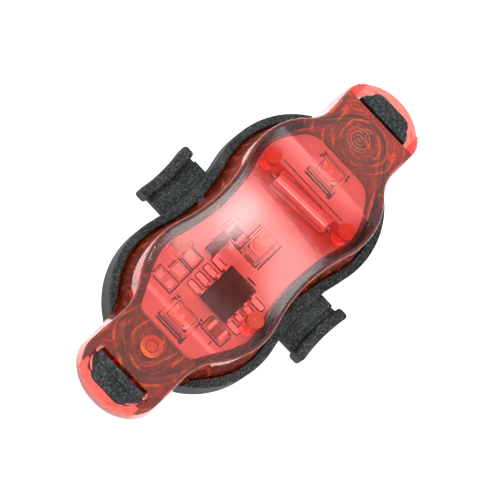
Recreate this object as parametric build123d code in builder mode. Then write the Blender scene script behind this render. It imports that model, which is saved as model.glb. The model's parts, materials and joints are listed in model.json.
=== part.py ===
from build123d import *

import os
from math import atan2, cos, degrees, radians, sin, sqrt, tan

# A clip-on light for a bicycle wheel: a black tray with two strap hooks, a clear red cover that two
# latches hold, and between them a circuit board, three LEDs, a motion switch and two button cells.
# All sizes are in millimetres. The light lies on its back, long in X, with the cover on top.
# The origin is the middle of the back face. "Far" is the +X end and "near" the -X end.

# Whole body
cell_separation = 4.2  # between the two cells, which lie in the middles of the round lobes
cell_surround = 1.6  # between a cell and the wall of the sealed room
tongue_reach = 16.55  # from the middle of a lobe to the end of the cover
switch_headroom = 1.05  # over the motion switch, the tallest part on the board
cut_overrun = 1.0  # how far a cutting shape runs past the face it cuts

# Base tray
base_waist_depth = 0.96  # from the sides of the lobes in to the waist
base_height = 4.8
base_floor = 1.4
base_edge_radius = 0.8
base_corner_radius = 1.0
base_tongue_width = 10.0
rim_width = 1.0
rim_edge_radius = 0.25
moat_floor = 2.9  # level of the channel that the seal ring lies in
inner_wall = 0.8
crossing_reach = 6.8  # from the middle of a lobe to where the cover stands clear of the base
pin_socket_floor = 2.0
well_wall = 0.6
spoke_channel_radius = 1.3
spoke_channel_depth = 0.7

# Seal ring
seal_thickness = 0.55
seal_width = 0.45
seal_gap = 0.1

# Lens cover
cover_gap = 0.12  # between the rim and the foot of the cover
cover_waist_depth = 1.24
cover_wall = 1.34
cover_roof = 1.2
cover_draft = 4.6  # degrees
cover_edge_radius = 0.45
neck_radius = 4.5
tongue_width = 10.7
tongue_shell = 0.9
tongue_underside = 4.2
tongue_slope = 27.7  # degrees
tongue_gap = 0.15  # between the base and the underside of a tongue
tip_depth = 4.2
tip_height = 5.4
shoulder_radius = 8.0
skirt_wall = 0.6
skirt_gap = 0.35  # between the skirt and the inner wall of the base, at the foot
nose_radius = 3.2
slot_wall = 0.8
pocket_end_wall = 1.6  # between a pocket beside the nose and the opening for the latch
slot_width = 7.6
slot_depth = 2.7
arch_width = 1.55
recess_width = 7.9  # of the low part round the opening
recess_level = 5.3
pin_offset = 1.1  # from the middle of the rounded nose
pin_diameter = 2.7
pin_fit = 0.05
post_diameter = 2.0
post_spacing = 11.4
near_post_offset = 1.0  # from the middle of a lobe towards the waist
far_post_offset = 0.4
post_gap = 0.05

# Locating tab at the middle of each side
tab_width = 1.0
tab_length = 0.55
tab_height = 0.7
tab_fit = 0.1

# Strap hooks
hook_length = 6.8
hook_reach = 12.62  # from the middle to the outer face of the lip
hook_underside = 1.1
hook_top = 2.4
lip_length = 7.4
lip_width = 1.4
lip_underside = 0.7
lip_top = 3.3
lip_edge_radius = 0.4
hook_groove_width = 0.6
hook_groove_depth = 0.6

# End latches
latch_swing_gap = 0.42  # behind the stem, for the travel that frees the cover
latch_root_gap = 0.32  # between the stem and the end of the base
latch_stem = 1.0
latch_fit = 0.3  # between the stem and the curved edge of the opening
latch_stem_top = 7.5
latch_head_width = 5.4
latch_head_lift = 0.14  # above the arch
latch_head_crown = 0.1  # above the slope of the tongue
latch_head_overlap = 0.15  # over the arch
latch_head_inset = 0.55  # from the back of the stem to the back of the head
latch_head_corner = 1.2
bead_radius = 0.55
bead_length = 6.0
bead_height = 2.1
bead_inset = 0.3  # from the end of the base in to the middle of the bead
bead_fit = 0.05
bead_end_gap = 0.15
latch_neck = 0.8

# Button cells
cell_diameter = 11.6
cell_height = 3.1
cell_fit = 0.15
cell_can_wall = 0.25
cell_gasket = 0.25
cell_can_height = 2.75
cell_cap_step = 0.6  # from the gasket in to the raised cap
cell_shoulder_height = 0.3
cell_edge_radius = 0.4

# Contacts
link_thickness = 0.3
link_width = 4.0
link_end = 3.1  # from the middle of a cell
link_dome_radius = 1.2
link_dome_height = 0.1
spring_thickness = 0.25
spring_width = 3.0
spring_pad = 3.2
spring_leaf = 3.6
spring_toe = 1.2

# Circuit board
board_seat = 6.1
board_thickness = 0.8
board_reach = 6.05  # from the middle of a lobe
board_gap = 0.5  # between the board and the foot of the cover
board_corner_radius = 2.6

# LEDs
led_length = 3.4
led_width = 2.5
led_height = 1.5
led_window = 2.0
led_window_mouth = 2.2
led_window_depth = 0.6
led_terminal_thickness = 0.12
led_terminal_width = 1.7
led_terminal_height = 0.8
led_terminal_foot = 0.6
led_offset = 3.8  # of the two end LEDs, from the middle of a lobe
led_middle_place = (0.35, -0.5)
led_edge_radius = 0.12

# Controller chip, placed from the middle of the near lobe
chip_length = 4.9
chip_width = 3.9
chip_height = 1.35
chip_lift = 0.15
chip_edge = 0.25
chip_place = (1.7, -1.75)
chip_pin_pitch = 1.27
chip_pin_width = 0.42
chip_pin_thickness = 0.15
chip_pin_reach = 0.85
chip_pin_foot = 0.4
chip_pins_on_side = 4

# Transistor
transistor_length = 2.9
transistor_width = 1.3
transistor_height = 0.95
transistor_lift = 0.1
transistor_place = (-2.9, 2.9)
transistor_pin_pitch = 1.9
transistor_pin_width = 0.4
transistor_pin_thickness = 0.12
transistor_pin_reach = 0.6
transistor_pin_foot = 0.25

# Chip capacitor and resistor, long in Y
passive_length = 2.0
passive_width = 1.25
passive_cap = 0.4
capacitor_height = 0.85
capacitor_place = (-1.85, -3.75)  # from the middle of the near lobe
resistor_height = 0.55
resistor_place = (-0.7, 2.35)

# Solder, with bare pads placed from the middle of the near lobe
solder_height = 0.35
solder_run = 0.4
pad_height = 0.18
small_pad = 0.85
large_pad = (1.1, 1.45)
small_pad_places = [(-1.9, 4.85), (-1.9, 3.4)]
large_pad_places = [(-0.2, 3.75), (1.8, 3.8)]

# Motion switch and its cradle, placed from the middle of the far lobe
switch_diameter = 2.4
switch_length = 7.8
switch_place = (-1.05, -0.15)
switch_turn = 3.0  # degrees from square across the board
switch_wall = 0.2
switch_plug_length = 0.9
switch_ball_diameter = 1.9
switch_end_radius = 0.3
switch_end_gap = 0.1
switch_fit = 0.05
lead_diameter = 0.3
lead_run = 0.35
lead_bend = 0.25
lead_hole = 0.6
cradle_length = 11.7
cradle_height = 0.8
cradle_floor = 0.25
cradle_far_edge = 0.55
cradle_wide_end = 3.7
cradle_narrow_end = 2.85
cradle_corner_radius = 0.25

on_ground = (Align.CENTER, Align.CENTER, Align.MIN)

# Places worked out from the sizes above
lobe_x = (cell_diameter + cell_separation) / 2
tip_x = lobe_x + tongue_reach
chamber_radius = cell_diameter / 2 + cell_surround
cover_radius = chamber_radius + cover_wall
rim_inner_radius = cover_radius + cover_gap
base_radius = rim_inner_radius + rim_width
base_waist = 2 * (base_radius - base_waist_depth)
cover_waist = 2 * (cover_radius - cover_waist_depth)
chamber_waist = cover_waist - 2 * cover_wall
seal_top = moat_floor + seal_thickness
cover_foot = seal_top
base_deck = tongue_underside - tongue_gap
slot_x = tip_x - arch_width - slot_depth
nose_x = slot_x - slot_wall - skirt_wall - nose_radius
latch_back = slot_x + latch_swing_gap
base_end = latch_back - latch_root_gap
board_top = board_seat + board_thickness
switch_height = board_top + cradle_floor + switch_diameter / 2
roof_underside = switch_height + switch_diameter / 2 + switch_headroom
overall_height = roof_underside + cover_roof
crossing_x = lobe_x + crossing_reach
board_end = lobe_x + board_reach
boss_start = lobe_x + cell_diameter / 2 + cell_fit + well_wall / 2
cell_bottom = base_floor + link_thickness + link_dome_height
cell_top = cell_bottom + cell_height
pin_x = nose_x + pin_offset
cell_cap_radius = cell_diameter / 2 - cell_can_wall - cell_gasket - cell_cap_step
bead_x = base_end - bead_inset
latch_stem_bottom = bead_height - latch_neck / 2
waist_centre = base_waist / 2 + (
    (base_waist**2 / 4 + lobe_x**2 - base_radius**2) / (2 * base_radius - base_waist)
)


def draft_inset(height):
    """How far the side of the cover leans in at a height."""
    return (height - cover_foot) * tan(radians(cover_draft))


def tongue_level(x, drop=0):
    """Level of the sloping top of a tongue at x, or of a surface drop below it."""
    slope = radians(tongue_slope)
    return tip_height + (tip_x - x) * tan(slope) - drop / cos(slope)


def lobed_face(radius, waist):
    """Plan of two round lobes joined by hollow arcs that touch both."""
    half = waist / 2
    bend = (half**2 + lobe_x**2 - radius**2) / (2 * (radius - half))
    lean = degrees(atan2(lobe_x, half + bend))
    with BuildSketch() as face:
        with BuildLine():
            CenterArc((0, half + bend), bend, 270, lean)
            CenterArc((lobe_x, 0), radius, 90 + lean, -90 - lean)
            mirror(about=Plane.XZ)
            mirror(about=Plane.YZ)
        make_face()
    return face.sketch


def cover_face(inset):
    """Plan of the cover, drawn in by inset on every side."""
    radius = cover_radius - inset
    half_waist = cover_waist / 2 - inset
    half_tongue = tongue_width / 2 - inset
    neck = neck_radius + inset
    bend = (half_waist**2 + lobe_x**2 - radius**2) / (2 * (radius - half_waist))
    lean = degrees(atan2(lobe_x, half_waist + bend))
    neck_y = half_tongue + neck
    neck_x = lobe_x + sqrt((radius + neck) ** 2 - neck_y**2)
    neck_lean = degrees(atan2(neck_y, neck_x - lobe_x))
    tip_centre = tip_x - tip_depth
    with BuildSketch() as face:
        with BuildLine():
            CenterArc((0, half_waist + bend), bend, 270, lean)
            CenterArc((lobe_x, 0), radius, 90 + lean, neck_lean - 90 - lean)
            CenterArc((neck_x, neck_y), neck, 180 + neck_lean, 90 - neck_lean)
            Line((neck_x, half_tongue), (tip_centre, half_tongue))
            EllipticalCenterArc((tip_centre, 0), tip_depth - inset, half_tongue, 0, arc_size=90)
            mirror(about=Plane.XZ)
            mirror(about=Plane.YZ)
        make_face()
    return face.sketch


def chamber_face(growth):
    """Plan of the sealed room inside the cover, grown by growth on every side."""
    with BuildSketch() as nose:
        with Locations((lobe_x, 0)):
            Circle(chamber_radius + growth)
        with Locations((nose_x, 0)):
            Circle(nose_radius + growth)
        make_hull()
        mirror(about=Plane.YZ)
    with BuildSketch() as face:
        add(lobed_face(chamber_radius + growth, chamber_waist + 2 * growth))
        add(nose.sketch)
    return face.sketch


def side_face(drop):
    """Side view under the top of the cover, or under a surface drop below it, down to the ground."""
    top = overall_height - drop
    tip_level = tongue_level(tip_x, drop)
    shoulder_x = tip_x - (top - tip_level) / tan(radians(tongue_slope))
    with BuildSketch(Plane.XZ) as face:
        with BuildLine():
            Polyline(
                (-tip_x, 0),
                (-tip_x, tip_level),
                (-shoulder_x, top),
                (shoulder_x, top),
                (tip_x, tip_level),
                (tip_x, 0),
                close=True,
            )
        make_face()
        shoulders = face.vertices().group_by(Axis.Y)[-1]
        fillet(shoulders, shoulder_radius - drop)
    return face.sketch


def slot_face(inset):
    """Plan of the opening for the far latch, drawn in by inset on its curved side."""
    with BuildSketch() as face:
        with BuildLine():
            EllipticalCenterArc((slot_x, 0), slot_depth - inset, slot_width / 2 - inset, -90, arc_size=180)
            Line((slot_x, inset - slot_width / 2), (slot_x, slot_width / 2 - inset))
        make_face()
    return face.sketch


def end_zones(start):
    """Plan of the two ends of the light, beyond start on either side."""
    reach = tip_x + cut_overrun
    with BuildSketch() as face:
        Rectangle(2 * reach, 2 * reach)
        Rectangle(2 * start, 2 * reach, mode=Mode.SUBTRACT)
    return face.sketch


def finish(part, name):
    """Label a finished piece and write its file."""
    part.label = name
    export_step(part, "parts/" + name + ".step")


os.makedirs("parts", exist_ok=True)

# Base tray
with BuildPart() as base_tray:
    with BuildSketch() as outline:
        add(lobed_face(base_radius, base_waist))
        Rectangle(2 * base_end, base_tongue_width)
        corners = outline.vertices().filter_by(lambda v: abs(v.X) < base_end - base_corner_radius)
        corners = corners.group_by(lambda v: round(abs(v.X), 3))[-1]
        fillet(corners, base_corner_radius)
    extrude(amount=base_deck)
    fillet(base_tray.faces().sort_by(Axis.Z)[0].outer_wire().edges(), base_edge_radius)
    # Rim round the lobes, open where the tongues of the cover pass over it
    with BuildSketch(Plane.XY.offset(base_deck)):
        add(lobed_face(base_radius, base_waist))
        add(cover_face(-cover_gap), mode=Mode.SUBTRACT)
    extrude(amount=base_height - base_deck)
    fillet(base_tray.faces().sort_by(Axis.Z)[-1].edges(), rim_edge_radius)
    # Channel for the seal ring and the foot of the cover
    with BuildSketch(Plane.XY.offset(moat_floor)):
        add(cover_face(-cover_gap))
        add(end_zones(crossing_x + cover_gap), mode=Mode.SUBTRACT)
        add(chamber_face(skirt_wall + cover_gap))
        add(chamber_face(-skirt_gap - inner_wall), mode=Mode.SUBTRACT)
    extrude(amount=base_height, mode=Mode.SUBTRACT)
    # Inner wall that carries the board
    with BuildSketch(Plane.XY.offset(moat_floor)):
        add(chamber_face(-skirt_gap))
    extrude(amount=board_seat - moat_floor)
    with BuildSketch(Plane.XY.offset(base_floor)):
        add(chamber_face(-skirt_gap - inner_wall))
    extrude(amount=board_seat, mode=Mode.SUBTRACT)
    # Wells for the cells, joined by a channel for the contact strip
    with BuildSketch(Plane.XY.offset(base_floor)):
        with Locations((lobe_x, 0), (-lobe_x, 0)):
            Circle(cell_diameter / 2 + cell_fit + well_wall)
        with Locations((lobe_x, 0), (-lobe_x, 0)):
            Circle(cell_diameter / 2 + cell_fit, mode=Mode.SUBTRACT)
        Rectangle(2 * lobe_x, link_width + 2 * cell_fit, mode=Mode.SUBTRACT)
        add(chamber_face(-skirt_gap), mode=Mode.INTERSECT)
    extrude(amount=cell_top - base_floor)
    # Bosses with sockets for the pins of the cover
    with BuildSketch(Plane.XY.offset(base_floor)):
        add(chamber_face(-skirt_gap))
        add(end_zones(boss_start), mode=Mode.INTERSECT)
    extrude(amount=board_seat - base_floor)
    with BuildSketch(Plane.XY.offset(pin_socket_floor)):
        with Locations((pin_x, 0), (-pin_x, 0)):
            Circle(pin_diameter / 2 + pin_fit)
    extrude(amount=base_height, mode=Mode.SUBTRACT)
    # Tabs that locate the cover at the waist
    with BuildSketch(Plane.XY.offset(base_height - tab_height)):
        with Locations((0, cover_waist / 2 + cover_gap - tab_length / 2)):
            Rectangle(tab_width, tab_length + cover_gap)
        mirror(about=Plane.XZ)
    extrude(amount=tab_height)
    # Strap hooks, whose edges follow the hollow of the waist
    with BuildSketch(Plane.XY.offset(hook_underside)):
        with Locations((0, hook_reach / 2)):
            Rectangle(hook_length, hook_reach)
        with Locations((0, waist_centre)):
            Circle(waist_centre - hook_reach + lip_width / 2, mode=Mode.SUBTRACT)
        add(lobed_face(rim_inner_radius, cover_waist), mode=Mode.SUBTRACT)
        mirror(about=Plane.XZ)
    extrude(amount=hook_top - hook_underside)
    with BuildSketch(Plane.XY.offset(lip_underside)) as lips:
        with Locations((0, hook_reach)):
            Rectangle(lip_length, 4 * lip_width)
        with Locations((0, waist_centre)):
            Circle(waist_centre - hook_reach, mode=Mode.SUBTRACT)
            Circle(waist_centre - hook_reach + lip_width, mode=Mode.INTERSECT)
        fillet(lips.vertices(), lip_edge_radius)
        mirror(about=Plane.XZ)
    extrude(amount=lip_top - lip_underside)
    lip_faces = base_tray.faces().filter_by(Axis.Z)
    lip_faces = lip_faces.filter_by(lambda f: abs(f.center().Y) > hook_reach - lip_width)
    fillet(lip_faces.group_by(Axis.Z)[-1].edges(), lip_edge_radius)
    with BuildSketch(Plane.XY.offset(hook_top - hook_groove_depth)):
        with Locations((0, hook_reach)):
            Rectangle(lip_length + cut_overrun, 8 * lip_width)
        with Locations((0, waist_centre)):
            Circle(waist_centre - hook_reach + lip_width, mode=Mode.SUBTRACT)
            Circle(waist_centre - hook_reach + lip_width + hook_groove_width, mode=Mode.INTERSECT)
        mirror(about=Plane.XZ)
    extrude(amount=base_height, mode=Mode.SUBTRACT)
    # Grooves that the beads of the latches turn in
    with BuildSketch(Plane.XZ):
        with Locations((bead_x, bead_height), (-bead_x, bead_height)):
            Circle(bead_radius + bead_fit)
    extrude(amount=bead_length / 2 + bead_end_gap, both=True, mode=Mode.SUBTRACT)
    # Hollow along the back that a spoke lies in
    with BuildSketch(Plane.YZ):
        with Locations((0, spoke_channel_depth - spoke_channel_radius)):
            Circle(spoke_channel_radius)
    extrude(amount=tip_x, both=True, mode=Mode.SUBTRACT)
finish(base_tray.part, "base_tray")

# Seal ring
with BuildPart() as seal_ring:
    with BuildSketch(Plane.XY.offset(moat_floor)):
        add(chamber_face(seal_gap + seal_width))
        add(chamber_face(seal_gap), mode=Mode.SUBTRACT)
    extrude(amount=seal_thickness)
finish(seal_ring.part, "seal_ring")

# Rooms that are taken out of the cover
with BuildPart() as chamber_room:
    with BuildSketch(Plane.XY.offset(cover_foot)):
        add(chamber_face(0))
    with BuildSketch(Plane.XY.offset(overall_height)):
        add(chamber_face(-draft_inset(overall_height)))
    loft(ruled=True)
    add(extrude(side_face(cover_roof), amount=tip_x, both=True, mode=Mode.PRIVATE), mode=Mode.INTERSECT)

with BuildPart() as tongue_rooms:
    with BuildSketch(Plane.XY.offset(cover_foot)):
        add(cover_face(tongue_shell))
    with BuildSketch(Plane.XY.offset(overall_height)):
        add(cover_face(tongue_shell + draft_inset(overall_height)))
    loft(ruled=True)
    add(extrude(side_face(cover_roof), amount=tip_x, both=True, mode=Mode.PRIVATE), mode=Mode.INTERSECT)
    with BuildSketch():
        add(end_zones(crossing_x))
        add(end_zones(slot_x - pocket_end_wall), mode=Mode.SUBTRACT)
    extrude(amount=overall_height, mode=Mode.INTERSECT)
    with BuildSketch():
        add(chamber_face(skirt_wall))
    extrude(amount=overall_height, mode=Mode.SUBTRACT)

# Lens cover
with BuildPart() as lens_cover:
    with BuildSketch(Plane.XY.offset(cover_foot)):
        add(cover_face(0))
    with BuildSketch(Plane.XY.offset(overall_height)):
        add(cover_face(draft_inset(overall_height)))
    loft(ruled=True)
    add(extrude(side_face(0), amount=tip_x, both=True, mode=Mode.PRIVATE), mode=Mode.INTERSECT)
    top_edges = lens_cover.edges().filter_by(Axis.Y, reverse=True)
    top_edges = top_edges.filter_by(lambda e: e.bounding_box().min.Z > tongue_underside)
    fillet(top_edges, cover_edge_radius)
    # The tongues stand clear of the base
    with BuildSketch():
        add(end_zones(crossing_x))
        add(chamber_face(skirt_wall), mode=Mode.SUBTRACT)
    extrude(amount=tongue_underside, mode=Mode.SUBTRACT)
    add(chamber_room.part, mode=Mode.SUBTRACT)
    add(tongue_rooms.part, mode=Mode.SUBTRACT)
    # Openings for the latches
    with BuildSketch():
        add(slot_face(0))
        mirror(about=Plane.YZ)
    extrude(amount=overall_height, mode=Mode.SUBTRACT)
    # The latches reach over a low part of each tongue, between two ears
    with BuildSketch(Plane.XY.offset(recess_level)):
        Rectangle(2 * (tip_x + cut_overrun), recess_width)
        add(end_zones(slot_x), mode=Mode.INTERSECT)
    extrude(amount=overall_height, mode=Mode.SUBTRACT)
    # Posts that hold the board and the cradle down
    for post_x, seat in (
        (near_post_offset - lobe_x, board_top),
        (lobe_x - far_post_offset, board_top + cradle_height),
    ):
        with BuildSketch(Plane.XY.offset(seat + post_gap)):
            with Locations((post_x, post_spacing / 2), (post_x, -post_spacing / 2)):
                Circle(post_diameter / 2)
        extrude(amount=roof_underside + cover_roof / 2 - seat)
    # Pins that stand in the sockets of the base
    pin_bottom = pin_socket_floor + cover_gap
    with BuildSketch(Plane.XY.offset(pin_bottom)):
        with Locations((pin_x, 0), (-pin_x, 0)):
            Circle(pin_diameter / 2)
    extrude(amount=tongue_level(pin_x, cover_roof / 2) - pin_bottom)
    # Notches for the tabs of the base
    with BuildSketch():
        with Locations((0, cover_waist / 2)):
            Rectangle(tab_width + 2 * tab_fit, 2 * (tab_length + tab_fit))
        mirror(about=Plane.XZ)
    extrude(amount=base_height + tab_fit, mode=Mode.SUBTRACT)
finish(lens_cover.part, "lens_cover")

# End latches
with BuildPart() as latch_far:
    with BuildSketch(Plane.XZ):
        with Locations((bead_x, bead_height)):
            Circle(bead_radius)
            Rectangle(latch_back + latch_stem / 2 - bead_x, latch_neck, align=(Align.MIN, Align.CENTER))
    extrude(amount=bead_length / 2, both=True)
    with BuildSketch(Plane.XY.offset(latch_stem_bottom)):
        add(slot_face(latch_fit))
        with Locations((latch_back + latch_stem / 2, 0)):
            Rectangle(latch_stem, slot_width, mode=Mode.INTERSECT)
    extrude(amount=latch_stem_top - latch_stem_bottom)
    head_start = latch_back + latch_head_inset
    head_end = slot_x + slot_depth + latch_head_overlap
    with BuildSketch(Plane.XZ):
        with BuildLine():
            Polyline(
                (head_start, recess_level + latch_head_lift),
                (head_start, tongue_level(head_start, -latch_head_crown)),
                (head_end, tongue_level(head_end, -latch_head_crown)),
                (head_end, recess_level + latch_head_lift),
                close=True,
            )
        make_face()
    extrude(amount=latch_head_width / 2, both=True)
    fillet(latch_far.edges().filter_by(Axis.Z).group_by(Axis.X)[-1], latch_head_corner)
finish(latch_far.part, "latch_far")
with BuildPart() as latch_near:
    add(mirror(latch_far.part, about=Plane.YZ, mode=Mode.PRIVATE))
finish(latch_near.part, "latch_near")

# Circuit board
with BuildPart() as circuit_board:
    with BuildSketch(Plane.XY.offset(board_seat)):
        add(chamber_face(-board_gap))
        Rectangle(2 * board_end, 2 * board_end, mode=Mode.INTERSECT)
        # In and out again, which rounds the corners
        offset(amount=-board_corner_radius, mode=Mode.REPLACE)
        offset(amount=board_corner_radius, mode=Mode.REPLACE)
    extrude(amount=board_thickness)
finish(circuit_board.part, "circuit_board")

# Middle of the near lobe, on top of the board
near_lobe = Location((-lobe_x, 0, board_top))

# LEDs, drawn long in X on the ground and then set on the board
with BuildPart() as led_resin:
    with Locations((0, 0, led_height - led_window_depth)):
        Cone(led_window / 2, led_window_mouth / 2, led_window_depth, align=on_ground)
with BuildPart() as led_housing:
    with BuildSketch(Plane.XY.offset(led_terminal_thickness)):
        Rectangle(led_length - 2 * led_terminal_thickness, led_width)
    extrude(amount=led_height - led_terminal_thickness)
    fillet(led_housing.edges().filter_by(Axis.Z), led_edge_radius)
    add(led_resin.part, mode=Mode.SUBTRACT)
with BuildPart() as led_terminals:
    with BuildSketch(Plane.XZ):
        with Locations((led_length / 2 - led_terminal_thickness / 2, led_terminal_height / 2)):
            Rectangle(led_terminal_thickness, led_terminal_height)
        with Locations((led_length / 2 - led_terminal_foot / 2, led_terminal_thickness / 2)):
            Rectangle(led_terminal_foot, led_terminal_thickness)
    extrude(amount=led_terminal_width / 2, both=True)
    mirror(about=Plane.YZ)
led_frames = {
    "near": Location((-lobe_x - led_offset, 0, board_top), (0, 0, 90)),
    "middle": Location((*led_middle_place, board_top)),
    "far": Location((lobe_x + led_offset, 0, board_top), (0, 0, 90)),
}
for place, frame in led_frames.items():
    for piece, drawn in (("housing", led_housing), ("resin", led_resin), ("terminals", led_terminals)):
        with BuildPart() as led_piece:
            with Locations(frame):
                add(drawn.part)
        finish(led_piece.part, "led_" + place + "_" + piece)

# Controller chip
chip_frame = near_lobe * Location((*chip_place, 0))
with BuildPart() as controller_body:
    with Locations(chip_frame):
        with Locations((0, 0, chip_lift)):
            Box(chip_length, chip_width, chip_height, align=on_ground)
    chamfer(controller_body.faces().filter_by(Axis.Z).edges(), chip_edge, chip_edge / 2)
finish(controller_body.part, "controller_body")


def gull_wing(body_width, top, reach, foot, thickness, width):
    """One lead on the +Y side of a flat body, bent down to a foot on the ground."""
    start = body_width / 2
    knee = start + reach - foot
    with BuildPart() as lead:
        with BuildSketch(Plane.YZ):
            with BuildLine():
                Polyline(
                    (start, top),
                    (knee - thickness, top),
                    (knee, thickness),
                    (start + reach, thickness),
                    (start + reach, 0),
                    (knee - thickness, 0),
                    (knee - 2 * thickness, top - thickness),
                    (start, top - thickness),
                    close=True,
                )
            make_face()
        extrude(amount=width / 2, both=True)
    return lead.part


chip_lead = gull_wing(
    chip_width, chip_lift + chip_height / 2, chip_pin_reach, chip_pin_foot, chip_pin_thickness, chip_pin_width
)
with BuildPart() as controller_leads:
    with Locations(chip_frame):
        with GridLocations(chip_pin_pitch, 0, chip_pins_on_side, 1):
            add(chip_lead)
            add(chip_lead, rotation=(0, 0, 180))
finish(controller_leads.part, "controller_leads")

# Transistor
transistor_frame = Location((*transistor_place, board_top))
with BuildPart() as transistor_body:
    with Locations(transistor_frame):
        with Locations((0, 0, transistor_lift)):
            Box(transistor_length, transistor_width, transistor_height, align=on_ground)
    chamfer(transistor_body.faces().filter_by(Axis.Z).edges(), transistor_lift)
finish(transistor_body.part, "transistor_body")
transistor_lead = gull_wing(
    transistor_width,
    transistor_lift + transistor_height / 2,
    transistor_pin_reach,
    transistor_pin_foot,
    transistor_pin_thickness,
    transistor_pin_width,
)
with BuildPart() as transistor_leads:
    with Locations(transistor_frame):
        add(transistor_lead)
        with GridLocations(transistor_pin_pitch, 0, 2, 1):
            add(transistor_lead, rotation=(0, 0, 180))
finish(transistor_leads.part, "transistor_leads")

# Capacitor and resistor
passive_frames = {
    "capacitor": near_lobe * Location((*capacitor_place, 0)),
    "resistor": Location((*resistor_place, board_top)),
}
for name, height in (("capacitor", capacitor_height), ("resistor", resistor_height)):
    with BuildPart() as passive_body:
        with Locations(passive_frames[name]):
            Box(passive_width, passive_length - 2 * passive_cap, height, align=on_ground)
    finish(passive_body.part, name + "_body")
    with BuildPart() as passive_ends:
        with Locations(passive_frames[name]):
            with GridLocations(0, passive_length - passive_cap, 1, 2):
                Box(passive_width, passive_cap, height, align=on_ground)
    finish(passive_ends.part, name + "_ends")


def solder_wedges(length, width):
    """Two wedges of solder at the ends of a part that is long in X."""
    with BuildPart() as wedges:
        with BuildSketch(Plane.XZ):
            with BuildLine():
                Polyline((length / 2, 0), (length / 2 + solder_run, 0), (length / 2, solder_height), close=True)
            make_face()
        extrude(amount=width / 2, both=True)
        mirror(about=Plane.YZ)
    return wedges.part


# Solder of the LEDs and chip parts, and bare solder pads
led_solder = solder_wedges(led_length, led_terminal_width)
passive_solder = solder_wedges(passive_length, passive_width)
with BuildPart() as bare_pads:
    with BuildSketch():
        with Locations(*small_pad_places):
            RectangleRounded(small_pad, small_pad, pad_height)
        with Locations(*large_pad_places):
            RectangleRounded(*large_pad, pad_height)
    extrude(amount=pad_height)
    fillet(bare_pads.faces().group_by(Axis.Z)[-1].edges(), pad_height / 2)
with BuildPart() as solder_joints:
    with Locations(*led_frames.values()):
        add(led_solder)
    for frame in passive_frames.values():
        with Locations(frame):
            add(passive_solder, rotation=(0, 0, 90))
    with Locations(near_lobe):
        add(bare_pads.part)
finish(solder_joints.part, "solder_joints")

# Motion switch, a ball in a metal can, drawn along Y with its axis through the origin
switch_frame = Location((lobe_x + switch_place[0], switch_place[1], switch_height), (0, 0, switch_turn))
along_y = (90, 0, 0)
with BuildPart() as switch_room:
    with Locations((0, (switch_plug_length - switch_wall) / 2, 0)):
        Cylinder(
            switch_diameter / 2 - switch_wall,
            switch_length - switch_plug_length - switch_wall,
            rotation=along_y,
        )
with BuildPart() as switch_plug:
    with Locations((0, (switch_plug_length - switch_length) / 2, 0)):
        Cylinder(switch_diameter / 2 - switch_wall, switch_plug_length, rotation=along_y)
with BuildPart() as switch_can:
    Cylinder(switch_diameter / 2, switch_length, rotation=along_y)
    fillet(switch_can.edges(), switch_end_radius)
    add(switch_room.part, mode=Mode.SUBTRACT)
    add(switch_plug.part, mode=Mode.SUBTRACT)
with BuildPart() as switch_ball:
    with Locations((0, switch_plug_length - switch_length / 2 + switch_ball_diameter / 2 + switch_fit, 0)):
        Sphere(switch_ball_diameter / 2)
with BuildPart() as switch_leads:
    lead_y = switch_length / 2
    with BuildLine(Plane.YZ):
        FilletPolyline(
            (lead_y, 0), (lead_y + lead_run, 0), (lead_y + lead_run, board_top - switch_height), radius=lead_bend
        )
    with BuildSketch(Plane.XZ.offset(-lead_y)):
        Circle(lead_diameter / 2)
    sweep()
    mirror(about=Plane.XZ)
for piece, drawn in (("can", switch_can), ("plug", switch_plug), ("ball", switch_ball), ("leads", switch_leads)):
    with BuildPart() as switch_piece:
        with Locations(switch_frame):
            add(drawn.part)
    finish(switch_piece.part, "switch_" + piece)

# Cradle of the motion switch
cradle_x = lobe_x + cradle_far_edge
with BuildPart() as switch_cradle:
    with BuildSketch(Plane.XY.offset(board_top)) as cradle_plan:
        with BuildLine():
            Polyline(
                (cradle_x, -cradle_length / 2),
                (cradle_x, cradle_length / 2),
                (cradle_x - cradle_narrow_end, cradle_length / 2),
                (cradle_x - cradle_wide_end, -cradle_length / 2),
                close=True,
            )
        make_face()
        fillet(cradle_plan.vertices(), cradle_corner_radius)
    extrude(amount=cradle_height)
    with Locations(switch_frame):
        Cylinder(
            switch_diameter / 2, switch_length + 2 * switch_end_gap, rotation=along_y, mode=Mode.SUBTRACT
        )
        with GridLocations(0, switch_length + 2 * lead_run, 1, 2):
            Cylinder(lead_hole / 2, 2 * switch_height, mode=Mode.SUBTRACT)
finish(switch_cradle.part, "switch_cradle")

# Button cells, drawn at the origin with the cap on top
with BuildPart() as cell_can:
    Cylinder(cell_diameter / 2, cell_can_height, align=on_ground)
    fillet(cell_can.edges().group_by(Axis.Z)[0], cell_edge_radius)
    with Locations((0, 0, cell_can_wall)):
        Cylinder(cell_diameter / 2 - cell_can_wall, cell_height, align=on_ground, mode=Mode.SUBTRACT)
with BuildPart() as cell_gasket_ring:
    with Locations((0, 0, cell_can_wall)):
        Cylinder(cell_diameter / 2 - cell_can_wall, cell_can_height - cell_can_wall, align=on_ground)
        Cylinder(
            cell_diameter / 2 - cell_can_wall - cell_gasket, cell_height, align=on_ground, mode=Mode.SUBTRACT
        )
with BuildPart() as cell_cap:
    with Locations((0, 0, cell_can_wall)):
        Cylinder(
            cell_diameter / 2 - cell_can_wall - cell_gasket,
            cell_can_height - cell_can_wall - cell_shoulder_height,
            align=on_ground,
        )
        Cylinder(cell_cap_radius, cell_height - cell_can_wall, align=on_ground)
    fillet(cell_cap.edges().group_by(Axis.Z)[-1], cell_shoulder_height)
cell_frames = {
    "near": Location((-lobe_x, 0, cell_top), (180, 0, 0)),
    "far": Location((lobe_x, 0, cell_bottom)),
}
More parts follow.
